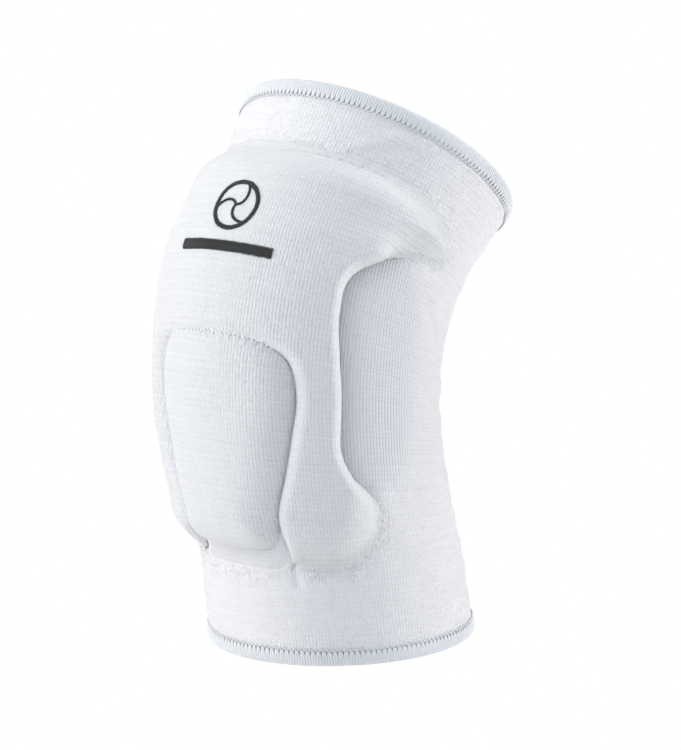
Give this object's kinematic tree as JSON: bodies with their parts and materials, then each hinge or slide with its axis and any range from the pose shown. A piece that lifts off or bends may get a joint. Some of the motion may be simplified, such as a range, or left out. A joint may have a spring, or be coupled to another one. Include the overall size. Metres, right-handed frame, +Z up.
{
  "type": "volleyball knee pad",
  "caption": "Knitted knee sleeve on a slightly bent leg's form, with overlocked hems, a horseshoe pad over the knee and down both sides, and a separate pad in its mouth.",
  "frame": {"origin": "middle of the leg at the knee, where the sleeve bends", "axes": "+Z up along the shin towards the thigh, -Y towards the front of the knee, +X towards the wearer's left"},
  "size_m": [0.1254, 0.1468, 0.2274],
  "materials": {
    "elastic_knit": "ribbed elastic knit",
    "overlock_thread": "close overlock stitches",
    "pad_knit": "dense knit over foam"
  },
  "bodies": {
    "root": {"sleeve": "elastic_knit", "bottom_hem": "overlock_thread", "top_hem": "overlock_thread", "horseshoe_pad": "pad_knit", "knee_pad": "pad_knit"}
  },
  "joints": []
}
